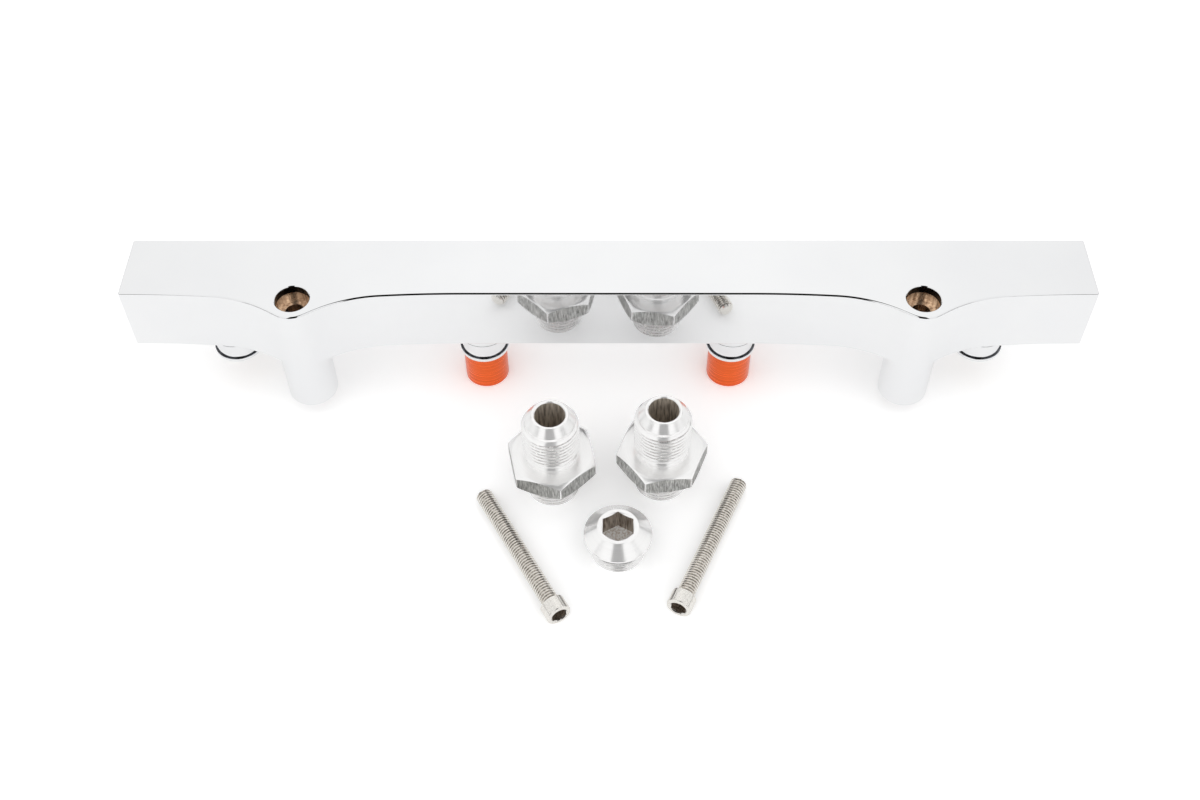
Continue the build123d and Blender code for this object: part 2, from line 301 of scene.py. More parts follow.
def lathe(outline, name, material=None, steps=96):
    # spins an outline of (radius, height) points about Z into a closed shell
    shape = bmesh.new()
    points = [shape.verts.new((r, 0, z)) for r, z in outline]
    rim = [shape.edges.new(pair) for pair in zip(points, points[1:])]
    if outline[0][0] > 0 or outline[-1][0] > 0:
        rim.append(shape.edges.new((points[-1], points[0])))
    spinAboutZ(shape, points + rim, 2 * pi, steps, merge=True)
    bmesh.ops.remove_doubles(shape, verts=shape.verts, dist=mergeGap)
    bmesh.ops.recalc_face_normals(shape, faces=shape.faces)
    return toObject(shape, name, material)


def roundRims(thing, rims, segments=2):
    # softens the turned edges that lie at each (radius, height), by a size of their own
    shape = openShape(thing)
    for radius, height, size in rims:
        edges = [e for e in shape.edges
                 if all(abs(v.co.z - height) < 0.001 and abs(v.co.xy.length - radius) < 0.01 for v in e.verts)]
        roundEdges(shape, edges, size, segments)
    closeShape(shape, thing)


def hexBar(flats, low, high, name, material=None, turn=0.0):
    shape = bmesh.new()
    bmesh.ops.create_circle(shape, cap_ends=True, radius=flats / 2 / cos(pi / 6), segments=6)
    bmesh.ops.rotate(shape, verts=shape.verts, cent=(0, 0, 0),
                     matrix=Matrix.Rotation(radians(turn - 90), 3, "Z"))
    bmesh.ops.translate(shape, verts=shape.verts, vec=(0, 0, low))
    raiseFaces(shape, high - low)
    return toObject(shape, name, material)


# one pitch of thread, from floor to crest and back, by share of the pitch
threadOutline = (("root", 0.0), ("root", 0.125), ("flank", 0.28), ("crest", 0.4375), ("crest", 0.5625),
                 ("flank", 0.72), ("root", 0.875), ("root", 1.0))


def threadedRod(spec, name, material=None, root=None, steps=40):
    # sweeps the thread's outline along a helix, then cuts it square at both ends and closes it
    shape = bmesh.new()
    pitch, low, high = spec["pitch"], spec["low"], spec["high"]
    radii = {"root": spec["minor"], "flank": (spec["minor"] + spec["major"]) / 2, "crest": spec["major"]}
    leadTurns, spareTurns = 1.5, 4  # it starts below the rod and ends above it
    start = low - leadTurns * pitch
    points = [shape.verts.new((radii[level], 0, start + share * pitch)) for level, share in threadOutline]
    rim = [shape.edges.new(pair) for pair in zip(points, points[1:])]
    turns = int((high - low) / pitch) + spareTurns
    spinAboutZ(shape, points + rim, 2 * pi * turns, steps * turns, rise=pitch / steps)
    bmesh.ops.remove_doubles(shape, verts=shape.verts, dist=0.002)
    for height, up in ((low, False), (high, True)):
        bmesh.ops.bisect_plane(shape, geom=shape.verts[:] + shape.edges[:] + shape.faces[:], dist=0.00001,
                               plane_co=(0, 0, height), plane_no=(0, 0, 1), clear_outer=up, clear_inner=not up)
    # the entry at each end is a cone that trims the crests
    for vert in shape.verts:
        entry = min(spec["lowStart"] + (vert.co.z - low) * spec["lowSlope"],
                    spec["highStart"] + (high - vert.co.z) * spec["highSlope"])
        reach = vert.co.xy.length
        if reach > entry:
            vert.co.xy = vert.co.xy * (entry / reach)
    bmesh.ops.holes_fill(shape, edges=[e for e in shape.edges if e.is_boundary], sides=0)
    bmesh.ops.recalc_face_normals(shape, faces=shape.faces)
    rod = toObject(shape, name, material)
    # the thread floors get the root finish: painted shade, darker than the crests
    if root:
        rod.data.materials.append(root)
        for face in rod.data.polygons:
            reach = max(rod.data.vertices[v].co.xy.length for v in face.vertices)
            whole = low + pitch / 2 < face.center.z < high - pitch / 2
            face.material_index = int(reach < radii["flank"] + 0.02 and whole and abs(face.normal.z) < 0.9)
    return rod


def finish(thing, node):
    # smooth shading between sharp edges, flats kept flat, then metres and the frame
    for face in thing.data.polygons:
        face.use_smooth = True
    thing.data.set_sharp_from_angle(angle=radians(sharpAngle))
    weights = thing.modifiers.new("weights", "WEIGHTED_NORMAL")
    weights.keep_sharp = True
    weights.weight = faceWeight
    applyAll(thing)
    thing.data.transform(Matrix.Scale(millimetre, 4))
    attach(thing, "root")
    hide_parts(node)


rail = {
    "barSize": 25.4,
    "edgeRound": 0.7,
    "topHeight": 46.5,
    "frontY": 2.2,
    "holeSpacing": 209.0,
    "bossRadius": 8.7,
    "flankAngle": 31.5,
    "tailAngle": 4.0,
    "hollowRadius": 46.0,
    "tailRadius": 400.0,
    "tailToEnd": 2.0,
    "tailSteps": 10,
    "hollowSteps": 22,
    "crownSteps": 26,
    "legRound": 0.8,
    "legBlend": 0.5,
    "legInset": 0.01,
    "screwHole": 3.3,
    "counterbore": 5.75,
    "counterboreDepth": 6.3,
    "counterboreEdge": 0.25,
    "boreShade": 2.9,
    "cupSpacing": 88.0,
    "cupRadius": 8.8,
    "cupShoulder": 6.0,
    "cupWaistRadius": 8.1,
    "cupWaist": 6.65,
    "cupFlange": 1.3,
    "cupRound": 0.15,
    "cupShade": 0.45,
    "cupEdgeShade": 0.3,
    "cupBore": 7.0,
    "cupBoreDepth": 14.0,
    "cupBoreCone": 0.8,
    "cupChamfer": 0.75,
    "feedRadius": 4.0,
    "galleryRadius": 7.0,
    "galleryReach": 170.0,
    "portSeat": [(0, 1), (10.9, 1), (9.9, 0), (9.257, -2.4), (8.2, -3.457), (8.2, -14.5), (7.0, -15.7), (0, -15.7)],
    "portThread": {"pitch": 1.5, "minor": 8.1, "major": 9.0, "low": -14.2, "high": -2.5, "lowStart": 7.9,
                   "lowSlope": 1.0, "highStart": 99, "highSlope": 0},
}
sleeve = {
    "radius": 7.75,
    "length": 14.95,
    "edge": 0.25,
    "bore": 5.5,
    "boreDepth": 12.0,
    "boreCone": 0.8,
    "feed": 4.0,
    "spigot": 6.85,
    "spigotLength": 9.5,
    "spigotChamfer": 0.6,
    "grooveAt": 4.2,
    "grooveHeight": 2.3,
    "grooveRadius": 5.6,
    "ringRadius": 6.29,
    "ringWidth": 1.36,
    "ringHeight": 1.9,
}
barBottom = rail["topHeight"] - rail["barSize"]
cupY = rail["frontY"] + rail["barSize"] / 2
galleryZ = barBottom + rail["barSize"] / 2
cupBottom = barBottom - rail["cupShoulder"] - rail["cupWaist"] - rail["cupFlange"]
benchZ = cupBottom - sleeve["length"]
bossXs = (-rail["holeSpacing"] / 2, rail["holeSpacing"] / 2)
cupXs = [(i - 1.5) * rail["cupSpacing"] for i in range(4)]


def walkStraight(shape, vert, heading, length):
    grown = bmesh.ops.extrude_vert_indiv(shape, verts=[vert])
    step = Vector((cos(heading), sin(heading), 0)) * length
    bmesh.ops.translate(shape, verts=grown["verts"], vec=step)
    return grown["verts"][0]


def walkArc(shape, vert, heading, radius, turn, steps):
    side = 1 if turn > 0 else -1
    centre = vert.co + Vector((-sin(heading), cos(heading), 0)) * radius * side
    swept = spinAboutZ(shape, [vert], turn, steps, centre)
    return [g for g in swept["geom_last"] if isinstance(g, bmesh.types.BMVert)][0]


def bossShape():
    # slope of the flank and of the tail, length of the straight flank and half the width of one boss
    slope, tail = radians(rail["flankAngle"]), radians(rail["tailAngle"])
    hollow, long, crown = rail["hollowRadius"], rail["tailRadius"], rail["bossRadius"]
    rise = rail["frontY"] + crown * cos(slope) - hollow * (cos(tail) - cos(slope)) - long * (1 - cos(tail))
    flank = rise / sin(slope)
    halfWidth = crown * sin(slope) + flank * cos(slope) + hollow * (sin(slope) - sin(tail)) + long * sin(tail)
    return slope, tail, flank, halfWidth


def walkBoss(shape, vert):
    # front edge of one boss from tail to tail, tangent all the way
    slope, tail, flank, _ = bossShape()
    hollow, long, crown = rail["hollowRadius"], rail["tailRadius"], rail["bossRadius"]
    vert = walkArc(shape, vert, 0, long, -tail, rail["tailSteps"])
    vert = walkArc(shape, vert, -tail, hollow, tail - slope, rail["hollowSteps"])
    vert = walkStraight(shape, vert, -slope, flank)
    vert = walkArc(shape, vert, -slope, crown, 2 * slope, rail["crownSteps"])
    vert = walkStraight(shape, vert, slope, flank)
    vert = walkArc(shape, vert, slope, hollow, tail - slope, rail["hollowSteps"])
    return walkArc(shape, vert, tail, long, -tail, rail["tailSteps"])


railLength = rail["holeSpacing"] + 2 * (bossShape()[3] + rail["tailToEnd"])


def makeBar(chrome):
    shape = bmesh.new()
    half, halfWidth = railLength / 2, bossShape()[3]
    first = shape.verts.new((-half, rail["frontY"], barBottom))
    vert = walkStraight(shape, first, 0, rail["tailToEnd"])
    vert = walkBoss(shape, vert)
    vert = walkStraight(shape, vert, 0, bossXs[1] - bossXs[0] - 2 * halfWidth)
    vert = walkBoss(shape, vert)
    vert = walkStraight(shape, vert, 0, rail["tailToEnd"])
    vert = walkStraight(shape, vert, pi / 2, rail["barSize"])
    vert = walkStraight(shape, vert, pi, railLength)
    shape.edges.new((vert, first))
    bmesh.ops.contextual_create(shape, geom=shape.edges[:])
    raiseFaces(shape, rail["barSize"])
    corners = [e for e in uprightEdges(shape) if abs(e.verts[0].co.x) > half - 0.01]
    roundEdges(shape, corners, rail["edgeRound"], 4)
    rims = [e for e in shape.edges if abs(e.verts[0].co.z - e.verts[1].co.z) < 0.001]
    roundEdges(shape, rims, rail["edgeRound"], 5)
    bmesh.ops.remove_doubles(shape, verts=shape.verts, dist=0.001)
    bmesh.ops.recalc_face_normals(shape, faces=shape.faces)
    return toObject(shape, "railBody", chrome)


def makeLeg(chrome):
    r, edge, top = rail["bossRadius"] - rail["legInset"], rail["legRound"], barBottom + overlap
    leg = lathe([(0, 0), (r - edge, 0), (r, edge), (r, top), (0, top)], "leg", chrome, 120)
    roundRims(leg, [(r, edge, rail["legBlend"]), (r - edge, 0, rail["legBlend"])], 3)
    return leg


def makeCup(chrome, shadeChrome):
    r, waist, edge = rail["cupRadius"], rail["cupWaistRadius"], rail["cupRound"]
    top, foot, root = barBottom - rail["cupShoulder"], cupBottom + rail["cupFlange"], barBottom + overlap
    shade, edgeShade = foot + rail["cupShade"], top + rail["cupEdgeShade"]
    cup = lathe([(0, root), (r, root), (r, edgeShade), (r, top), (waist, top), (waist, shade), (waist, foot),
                 (r, foot), (r, cupBottom), (0, cupBottom)], "cup", chrome, 120)
    roundRims(cup, [(r, top, edge), (waist, top, edge), (waist, foot, edge), (r, foot, edge), (r, cupBottom, edge)])
    # the ledge over the flange and the shoulder's lower edge get the dark chrome: painted shade
    cup.data.materials.append(shadeChrome)
    for face in cup.data.polygons:
        out, z = face.center.xy.length, face.center.z
        ledge = foot - 0.01 < z < shade and waist - 0.05 < out < r - 0.12
        face.material_index = int(ledge or (waist < out and top - 0.01 < z < edgeShade))
    return cup


def makeScrewBore(chrome, bronze, shade):
    top, edge = rail["topHeight"], rail["counterboreEdge"]
    step, shadeFoot = top - rail["counterboreDepth"], top - rail["boreShade"]
    wide, narrow = rail["counterbore"], rail["screwHole"]
    bore = lathe([(0, -overlap), (narrow, -overlap), (narrow, step), (wide, step), (wide, shadeFoot),
                  (wide, top - edge), (wide + edge, top), (wide + edge, top + overlap), (0, top + overlap)],
                 "screwBore", bronze, 120)
    bore.data.materials.append(shade)
    bore.data.materials.append(chrome)
    # the counterbore's upper wall gets boreShade, a painted shade, and its rim gets the chrome
    for face in bore.data.polygons:
        face.material_index = (face.center.z > shadeFoot) + (face.center.z > top - edge)
    return bore


def makeCupBore(bronze):
    r, chamfer, feed = rail["cupBore"], rail["cupChamfer"], rail["feedRadius"]
    depth = cupBottom + rail["cupBoreDepth"]
    return lathe([(0, cupBottom - overlap), (r + chamfer, cupBottom - overlap), (r + chamfer, cupBottom),
                  (r, cupBottom + chamfer), (r, depth), (feed, depth + rail["cupBoreCone"]), (feed, galleryZ),
                  (0, galleryZ)], "cupBore", bronze, 72)


def makeRail(chrome, shadeChrome, bronze, shade, bare):
    body = makeBar(chrome)
    for x in bossXs:
        combine(body, placed(makeLeg(chrome), (x, 0, 0)), "UNION")
    for x in cupXs:
        combine(body, placed(makeCup(chrome, shadeChrome), (x, cupY, 0)), "UNION")
    for x in bossXs:
        combine(body, placed(makeScrewBore(chrome, bronze, shade), (x, 0, 0)), "DIFFERENCE")
    for x in cupXs:
        combine(body, placed(makeCupBore(bronze), (x, cupY, 0)), "DIFFERENCE")
    r, reach = rail["galleryRadius"], rail["galleryReach"]
    gallery = lathe([(0, -reach), (r, -reach), (r, reach), (0, reach)], "gallery", bare, 72)
    gallery.data.transform(Matrix.Translation((0, cupY, galleryZ)) @ Matrix.Rotation(pi / 2, 4, "Y"))
    combine(body, gallery, "DIFFERENCE")
    for side in (-1, 1):
        aim = Matrix.Translation((side * railLength / 2, cupY, galleryZ)) @ Matrix.Rotation(side * pi / 2, 4, "Y")
        seat = lathe(rail["portSeat"], "portSeat", bare, 96)
        seat.data.transform(aim)
        combine(body, seat, "DIFFERENCE")
        thread = threadedRod(rail["portThread"], "portThread", bare, steps=32)
        thread.data.transform(aim)
        combine(body, thread, "DIFFERENCE")
    return body


def makeSleeve(name, x, orange):
    low, high = -sleeve["length"], sleeve["spigotLength"]
    groove, grooveFoot = sleeve["grooveRadius"], sleeve["grooveAt"]
    grooveTop = grooveFoot + sleeve["grooveHeight"]
    r, edge, bore, feed = sleeve["radius"], sleeve["edge"], sleeve["bore"], sleeve["feed"]
    spigot, chamfer, cone = sleeve["spigot"], sleeve["spigotChamfer"], sleeve["boreCone"]
    depth = low + sleeve["boreDepth"]
    made = lathe([(bore + cone, low), (r - edge, low), (r, low + edge), (r, -edge), (r - edge, 0), (spigot, 0),
                  (spigot, grooveFoot), (groove, grooveFoot), (groove, grooveTop), (spigot, grooveTop),
                  (spigot, high - chamfer), (spigot - chamfer, high), (feed, high), (feed, depth + cone),
                  (bore, depth), (bore, low + cone)], name, orange, 120)
    return placed(made, (x, cupY, cupBottom))


def makeRing(name, centreRadius, height, width, tall, rubber):
    shape = bmesh.new()
    bmesh.ops.create_circle(shape, cap_ends=False, radius=0.5, segments=20)
    bmesh.ops.rotate(shape, verts=shape.verts, cent=(0, 0, 0), matrix=Matrix.Rotation(pi / 2, 3, "X"))
    bmesh.ops.scale(shape, verts=shape.verts, vec=(width, 1, tall))
    bmesh.ops.translate(shape, verts=shape.verts, vec=(centreRadius, 0, height))
    spinAboutZ(shape, shape.verts[:] + shape.edges[:], 2 * pi, 80, merge=True)
    bmesh.ops.remove_doubles(shape, verts=shape.verts, dist=mergeGap)
    bmesh.ops.recalc_face_normals(shape, faces=shape.faces)
    return toObject(shape, name, rubber)


fitting = {
    "bore": 5.0,
    "boreMouth": 0.35,
    "boreChamfer": 1.0,
    "studLength": 12.1,
    "coreRadius": 7.9,
    "coreFoot": 0.3,
    "neckRadius": 7.7,
    "neckFrom": 9.3,
    "neckTo": 9.6,
    "neckTop": 12.6,
    "hexFlats": 27.0,
    "hexHeight": 7.4,
    "hexBevel": 1.5,
    "hexSlack": 0.05,
    "cornerBreak": 0.28,
    "flareLength": 20.0,
    "flareAngle": 37,
    "noseRadius": 6.1,
    "flareBase": 8.3,
    "flareLand": 1.1,
    "reliefRadius": 8.4,
    "collarRadius": 9.0,
    "collarHeight": 1.5,
    "collarEdge": 0.12,
    "collarFillet": [(0.3, 0.1), (0.05, 0.3), (0, 0.6)],
    "reliefEnd": 1.6,
    "landStart": 1.5,
    "baseEdge": 0.08,
    "baseRise": 0.06,
    "noseEdge": [(0.12, -0.16), (-0.1, 0)],
    "ringRadius": 8.83,
    "ringDrop": 1.13,
    "ringSize": 2.2,
    "studThread": {"pitch": 1.5, "minor": 8.08, "major": 9.0, "low": 0.0, "high": 9.4, "lowStart": 8.0,
                   "lowSlope": 1.0, "highStart": 8.1, "highSlope": 1.4},
    "flareThread": {"pitch": 1.5875, "minor": 8.56, "major": 9.525, "low": 22.65, "high": 35.45,
                    "lowStart": 8.45, "lowSlope": 1.25, "highStart": 8.35, "highSlope": 1.5},
    "places": {"left": ((-18.57, -37.0), 42.3), "right": ((18.33, -35.0), 8.0)},
}


def makeHexagon(sawn, turned):
    low, high = fitting["studLength"], fitting["studLength"] + fitting["hexHeight"]
    corner, bevel = fitting["hexFlats"] / 2 / cos(pi / 6), fitting["hexBevel"]
    face, out = corner - bevel / tan(radians(30)), corner + fitting["hexSlack"]
    blank = hexBar(fitting["hexFlats"], low - overlap, high + overlap, "hexagon", sawn)
    blank.data.materials.append(turned)
    shape = openShape(blank)
    broken = roundEdges(shape, uprightEdges(shape), fitting["cornerBreak"], 2)
    for bevelFace in broken["faces"]:
        bevelFace.material_index = 1
    closeShape(shape, blank)
    turning = lathe([(0, low), (face, low), (out, low + bevel + 0.03), (out, high - bevel - 0.03), (face, high),
                     (0, high)], "hexTurning", turned, 144)
    return combine(blank, turning, "INTERSECT")


def makeSpine(hexTop, total, turned):
    core, neck, foot = fitting["coreRadius"], fitting["neckRadius"], fitting["coreFoot"]
    nose, base, relief = fitting["noseRadius"], fitting["flareBase"], fitting["reliefRadius"]
    collar, edge, neckTop = fitting["collarRadius"], fitting["collarEdge"], fitting["neckTop"]
    baseEdge, baseRise = fitting["baseEdge"], fitting["baseRise"]
    baseZ = total - (base - nose) / tan(radians(fitting["flareAngle"]))
    collarZ, landZ = hexTop + fitting["collarHeight"], baseZ - fitting["flareLand"]
    fillet = [(relief + out, collarZ + up) for out, up in fitting["collarFillet"]]
    noseEdge = [(nose + out, total + up) for out, up in fitting["noseEdge"]]
    return lathe([(0, foot), (core, foot), (core, fitting["neckFrom"]), (neck, fitting["neckTo"]), (neck, neckTop),
                  (collar, neckTop), (collar, collarZ - edge), (collar - edge, collarZ), *fillet,
                  (relief, landZ - fitting["reliefEnd"]), (base, landZ - fitting["landStart"]),
                  (base, baseZ - baseEdge), (base - baseEdge, baseZ + baseRise), *noseEdge, (0, total)],
                 "spine", turned, 120)


def makeFitting(name, place, turn, sawn, turned, root, drilled):
    hexTop = fitting["studLength"] + fitting["hexHeight"]
    total = hexTop + fitting["flareLength"]
    body = makeHexagon(sawn, turned)
    combine(body, makeSpine(hexTop, total, turned), "UNION")
    for thread in ("studThread", "flareThread"):
        combine(body, threadedRod(fitting[thread], thread, turned, root), "UNION")
    r, chamfer, mouth = fitting["bore"], fitting["boreChamfer"], fitting["bore"] + fitting["boreMouth"]
    bore = lathe([(0, -overlap), (r + chamfer + overlap, -overlap), (r + chamfer, 0), (r, chamfer),
                  (r, total - fitting["boreMouth"]), (mouth, total), (mouth, total + overlap),
                  (0, total + overlap)], "fittingBore", drilled, 96)
    bore.data.materials.append(turned)
    for face in bore.data.polygons:
        face.material_index = int(face.center.z > total - fitting["boreMouth"])
    combine(body, bore, "DIFFERENCE")
    body.name = name
    return placed(body, (*place, benchZ), turn)


plug = {
    "coreRadius": 7.9,
    "coreFoot": 0.3,
    "neckRadius": 7.7,
    "neckFrom": 7.0,
    "neckTo": 7.2,
    "headRadius": 11.25,
    "topRadius": 6.8,
    "height": 14.4,
    "rimAt": 10.5,
    "lip": 1.0,
    "lipEdge": 0.2,
    "rimEdge": 0.12,
    "rimRise": 0.05,
    "crownEdge": [(0.2, -0.16), (-0.1, 0)],
    "socketFlats": 10.0,
    "socketDepth": 8.0,
    "mouthRadius": 5.7,
    "mouthSlope": 0.6,
    "drillRadius": 4.6,
    "drillDepth": 1.4,
    "drillOverlap": 0.2,
    # the ring sits low and wide on the thread so its black shows under the lip as the dark arc there: a real seal
    # that also stands in for shade
    "ringRadius": 9.15,
    "ringDrop": 1.48,
    "ringSize": 2.2,
    "place": (3.53, -63.4),
    "thread": {"pitch": 1.5, "minor": 8.08, "major": 9.0, "low": 0.0, "high": 7.2, "lowStart": 8.0,
               "lowSlope": 1.0, "highStart": 8.1, "highSlope": 1.4},
}


def makePlug(name, turned, root, broached, bottom):
    top, rim, head = plug["height"], plug["rimAt"], plug["rimAt"] - plug["lip"]
    core, neck, foot = plug["coreRadius"], plug["neckRadius"], plug["coreFoot"]
    r, lipEdge, rimEdge, crown = plug["headRadius"], plug["lipEdge"], plug["rimEdge"], plug["topRadius"]
    crownEdge = [(crown + out, top + up) for out, up in plug["crownEdge"]]
    body = lathe([(0, foot), (core, foot), (core, plug["neckFrom"]), (neck, plug["neckTo"]), (neck, head),
                  (r - lipEdge, head), (r, head + lipEdge), (r, rim - rimEdge),
                  (r - rimEdge, rim + plug["rimRise"]), *crownEdge, (0, top)], name, turned, 120)
    combine(body, threadedRod(plug["thread"], "plugThread", turned, root), "UNION")
    floor, mouth, across = top - plug["socketDepth"], plug["mouthRadius"], plug["socketFlats"] / 2
    socket = hexBar(plug["socketFlats"], floor, top + overlap, "socket", broached, 90)
    socket.data.materials.append(bottom)
    for face in socket.data.polygons:
        face.material_index = int(face.normal.z < -0.5)
    combine(body, socket, "DIFFERENCE")
    sink = top - (mouth - across) * plug["mouthSlope"]
    combine(body, lathe([(0, sink), (across, sink), (mouth, top), (mouth, top + overlap), (0, top + overlap)],
                        "mouth", turned, 96), "DIFFERENCE")
    drill, drillTop = plug["drillRadius"], floor + plug["drillOverlap"]
    combine(body, lathe([(0, floor - plug["drillDepth"]), (drill, floor), (drill, drillTop), (0, drillTop)],
                        "drillTip", bottom, 64), "DIFFERENCE")
    return placed(body, (*plug["place"], benchZ))


screw = {
    "radius": 2.97,
    "length": 50.0,
    "point": 0.75,
    "coreRadius": 2.3,
    "tipRadius": 2.0,
    "tipFrom": 0.4,
    "tipTo": 0.8,
    "headRadius": 4.25,
    "headTrim": 0.03,  # keeps the tilted head inside the frame's box
    "headFoot": 0.1,
    "headHeight": 5.2,
    "headEdge": 0.5,
    "headRound": (0.35, 0.3),  # where the edge's middle point lies, by share of the edge
    "socketFlats": 5.0,
    "socketDepth": 3.0,
    "socketChamfer": 0.3,
    "thread": {"pitch": 1.0, "minor": 2.4, "major": 2.97, "low": 0.0, "high": 49.9, "lowStart": 2.22,
               "lowSlope": 1.0, "highStart": 2.5, "highSlope": 1.0},
    "places": {"left": ((-42.2, -42.7), -60.6), "right": ((45.1, -37.7), -114.0)},
}


def makeScrew(name, tip, heading, steel, root, broached):
    length, top = screw["length"], screw["length"] + screw["headHeight"]
    r, edge, foot = screw["headRadius"] - screw["headTrim"], screw["headEdge"], screw["headFoot"]
    core, point, tipFrom = screw["coreRadius"], screw["tipRadius"], screw["tipFrom"]
    inward, down = screw["headRound"]
    body = lathe([(0, tipFrom), (point, tipFrom), (core, screw["tipTo"]), (core, length), (r - foot, length),
                  (r, length + foot), (r, top - edge), (r - edge * inward, top - edge * down), (r - edge, top),
                  (0, top)], name, steel, 64)
    combine(body, threadedRod(screw["thread"], "screwThread", steel, root, 24), "UNION")
    socket = hexBar(screw["socketFlats"], top - screw["socketDepth"], top + overlap, "socket", broached)
    combine(body, socket, "DIFFERENCE")
    mouth, chamfer = screw["socketFlats"] / 2 / cos(pi / 6), screw["socketChamfer"]
    combine(body, lathe([(0, top - chamfer), (mouth - chamfer, top - chamfer), (mouth, top),
                         (mouth, top + overlap), (0, top + overlap)], "mouth", steel, 48), "DIFFERENCE")
    # it lies on its head's rim and its point, so it leans a little
    lean = atan2(screw["headRadius"] - screw["radius"], length - screw["point"])
    lift = screw["radius"] * cos(lean) + screw["point"] * sin(lean)
    body.data.transform(Matrix.Translation((*tip, benchZ + lift)) @ Matrix.Rotation(radians(heading), 4, "Z")
                        @ Matrix.Rotation(pi / 2 - lean, 4, "Y"))
    return body


chrome, bronze, rubber = makeFinish("mirrorChrome"), makeFinish("drilledBronze"), makeFinish("sealRubber")
steel, broached, drilled = makeFinish("rolledSteel"), makeFinish("broachedSocket"), makeFinish("drilledBore")
bottom, shadeChrome, shade = makeFinish("socketFloor"), makeFinish("paintedShadeChrome"), makeFinish("boreShade")
aluminiumRootShade, steelRootShade = makeFinish("threadRootShade.aluminium"), makeFinish("threadRootShade.steel")
bare = makeFinish("turnedAluminium", "boredAluminium", (0, cupY, galleryZ))
print("finishes made")

railBody = makeRail(chrome, shadeChrome, bronze, shade, bare)
finish(railBody, "rail_body")
print("rail made:", len(railBody.data.polygons), "faces")

for side, x in zip(("left", "right"), cupXs[1:3]):
    orange = makeFinish("orangeAnodise", "orangeAnodise." + side, (x, cupY, cupBottom))
    finish(makeSleeve("adapterSleeve." + side, x, orange), "injector_sleeve_" + side)
    ring = makeRing("sleeveRing." + side, sleeve["ringRadius"], sleeve["grooveAt"] + sleeve["grooveHeight"] / 2,
                    sleeve["ringWidth"], sleeve["ringHeight"], rubber)
    finish(placed(ring, (x, cupY, cupBottom)), "sleeve_o_ring_" + side)
print("sleeves made")

for side, (place, turn) in fitting["places"].items():
    turned = makeFinish("turnedAluminium", "turnedAluminium." + side, (*place, 0))
    sawn = makeFinish("sawnFlats", "sawnFlats." + side, (*place, 0))
    made = makeFitting("endFitting." + side, place, turn, sawn, turned, aluminiumRootShade, drilled)
    finish(made, "end_fitting_" + side)
    ring = makeRing("fittingRing." + side, fitting["ringRadius"], fitting["studLength"] - fitting["ringDrop"],
                    fitting["ringSize"], fitting["ringSize"], rubber)
    finish(placed(ring, (*place, benchZ)), "fitting_o_ring_" + side)
    print("fitting made:", side, len(made.data.polygons), "faces")

turned = makeFinish("turnedAluminium", "turnedAluminium.plug", (*plug["place"], 0))
made = makePlug("portPlug", turned, aluminiumRootShade, broached, bottom)
finish(made, "port_plug")
ring = makeRing("plugRing", plug["ringRadius"], plug["rimAt"] - plug["lip"] - plug["ringDrop"],
                plug["ringSize"], plug["ringSize"], rubber)
finish(placed(ring, (*plug["place"], benchZ)), "plug_o_ring")
print("plug made:", len(made.data.polygons), "faces")

for side, (tip, heading) in screw["places"].items():
    made = makeScrew("mountingScrew." + side, tip, heading, steel, steelRootShade, broached)
    finish(made, "mounting_screw_" + side)
    print("screw made:", side, len(made.data.polygons), "faces")

# a pair gives where a change begins and ends, by the direction's X, Y or Z
stage = {
    "cameraPlace": (0.834, -317.56, 386.13),
    "pitch": 51.048,
    "roll": -0.464,
    "yaw": 0.638,
    "focalPixels": 1403.3,
    "imageWidth": 1200,
    "sensor": 36.0,
    "floorSize": 3000,
    "floorGap": 0.05,
    "floorColour": 0.97,
    "floorGain": 1.24,
    "eyeWhite": 0.1,
    "metalWhite": 0.4,
    "frontLight": 0.65,
    "sideLevel": 0.9,
    "sideFade": (0.1, 0.42),
    "horizonLevel": 0.25,
    "horizonFade": (0.03, 0.09),
    "bandWidth": 0.40,
    "bandSoftness": 0.03,
    "bandTaper": 0.215,
    "bandFront": (0.30, 0.22),
    "bandFoot": (0.0, 0.06),
    "bandColour": (0.012, 0.01, 0.01),
    "wallHeight": 0.34,
    "wallSpread": (0.07, 0.1),
    "wallAside": (0.68, 0.74),
    "wallAhead": (-0.28, -0.33),
    "wallColour": (0.02, 0.018, 0.017),
}


def makeFloor():
    shape = bmesh.new()
    bmesh.ops.create_grid(shape, x_segments=1, y_segments=1, size=stage["floorSize"])
    bmesh.ops.translate(shape, verts=shape.verts, vec=(0, 0, benchZ - stage["floorGap"]))
    bmesh.ops.scale(shape, verts=shape.verts, vec=(millimetre,) * 3)
    floor = toObject(shape, "floor")
    material = bpy.data.materials.new("paperSweep")
    material.use_nodes = True
    tree = material.node_tree
    tree.nodes.remove(tree.nodes["Principled BSDF"])
    # the eye and the metal see the sweep nearly burnt out, with part of the shadow left
    rays = addNode(tree, "ShaderNodeLightPath")
    paper = addNode(tree, "ShaderNodeBsdfDiffuse")
    plain, bright = (stage["floorColour"],) * 3, (stage["floorGain"],) * 3
    tree.links.new(mixColours(tree, rays.outputs["Is Camera Ray"], plain, bright), paper.inputs["Color"])
    white = addNode(tree, "ShaderNodeEmission", {"Color": (1, 1, 1, 1), "Strength": 1.0})
    eye = maths(tree, "MULTIPLY", rays.outputs["Is Camera Ray"], stage["eyeWhite"])
    share = maths(tree, "MULTIPLY_ADD", rays.outputs["Is Glossy Ray"], stage["metalWhite"], eye)
    tree.links.new(mixShaders(tree, share, paper, white), tree.nodes["Material Output"].inputs["Surface"])
    floor.data.materials.append(material)


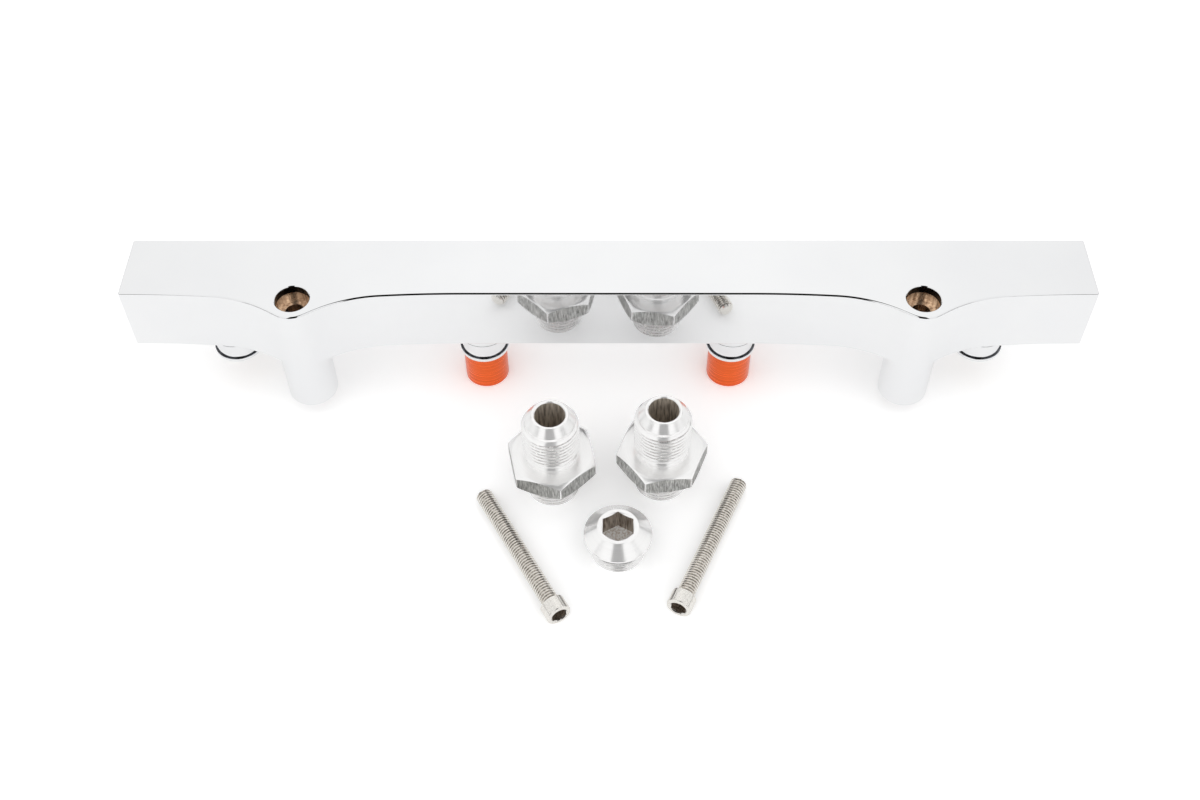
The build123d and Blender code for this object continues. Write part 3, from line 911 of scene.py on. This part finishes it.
def makeWorld():
    world = bpy.data.worlds.new("studio")
    world.use_nodes = True
    tree = world.node_tree
    tree.nodes.clear()
    x, y, z = separated(tree, addNode(tree, "ShaderNodeTexCoord").outputs["Generated"])
    aside = maths(tree, "ABSOLUTE", x)
    # the dark shape of the camera and its stand: a band in front that narrows upwards, seen by metal only
    width, soft = stage["bandWidth"], stage["bandSoftness"]
    tapered = maths(tree, "MULTIPLY_ADD", z, stage["bandTaper"], aside)
    narrow = mapRange(tree, tapered, width - soft, width + soft, 1, 0)
    front = mapRange(tree, y, *stage["bandFront"], 0, 1)
    above = mapRange(tree, z, *stage["bandFoot"], 0, 1)
    band = maths(tree, "MULTIPLY", maths(tree, "MULTIPLY", narrow, front), above)
    # a dim wall at the far left and right, between two heights
    offset = maths(tree, "ABSOLUTE", maths(tree, "SUBTRACT", z, stage["wallHeight"]))
    wallSide = mapRange(tree, aside, *stage["wallAside"], 0, 1)
    wallFront = mapRange(tree, y, *stage["wallAhead"], 0, 1)
    spread = mapRange(tree, offset, *stage["wallSpread"], 1, 0)
    wall = maths(tree, "MULTIPLY", maths(tree, "MULTIPLY", wallSide, wallFront), spread)
    room = mixColours(tree, wall, (1, 1, 1), stage["wallColour"])
    studio = addNode(tree, "ShaderNodeBackground")
    tree.links.new(mixColours(tree, band, room, stage["bandColour"]), studio.inputs["Color"])
    # a little darker to the sides and along the horizon
    sides = mapRange(tree, aside, *stage["sideFade"], 1.0, stage["sideLevel"])
    horizon = mapRange(tree, z, *stage["horizonFade"], stage["horizonLevel"], 1.0)
    tree.links.new(maths(tree, "MULTIPLY", sides, horizon), studio.inputs["Strength"])
    # soft light that comes more from the front than from behind
    white = addNode(tree, "ShaderNodeBackground", {"Color": (1, 1, 1, 1)})
    tree.links.new(maths(tree, "MULTIPLY_ADD", y, -stage["frontLight"], 1.0), white.inputs["Strength"])
    rays = addNode(tree, "ShaderNodeLightPath")
    out = addNode(tree, "ShaderNodeOutputWorld")
    tree.links.new(mixShaders(tree, rays.outputs["Is Glossy Ray"], white, studio), out.inputs["Surface"])
    bpy.context.scene.world = world


def makeCamera():
    camera = bpy.data.objects.new("camera", bpy.data.cameras.new("camera"))
    bpy.context.scene.collection.objects.link(camera)
    camera.data.sensor_width = stage["sensor"]
    camera.data.lens = stage["focalPixels"] / stage["imageWidth"] * stage["sensor"]
    camera.data.clip_start = 0.01
    aim = (Matrix.Rotation(radians(stage["yaw"]), 4, "Z") @ Matrix.Rotation(radians(90 - stage["pitch"]), 4, "X")
           @ Matrix.Rotation(radians(stage["roll"]), 4, "Z"))
    camera.matrix_world = Matrix.Translation([c * millimetre for c in stage["cameraPlace"]]) @ aim
    bpy.context.scene.camera = camera


makeFloor()
makeWorld()
makeCamera()
bpy.context.scene.view_settings.view_transform = "Standard"
print("stage set")
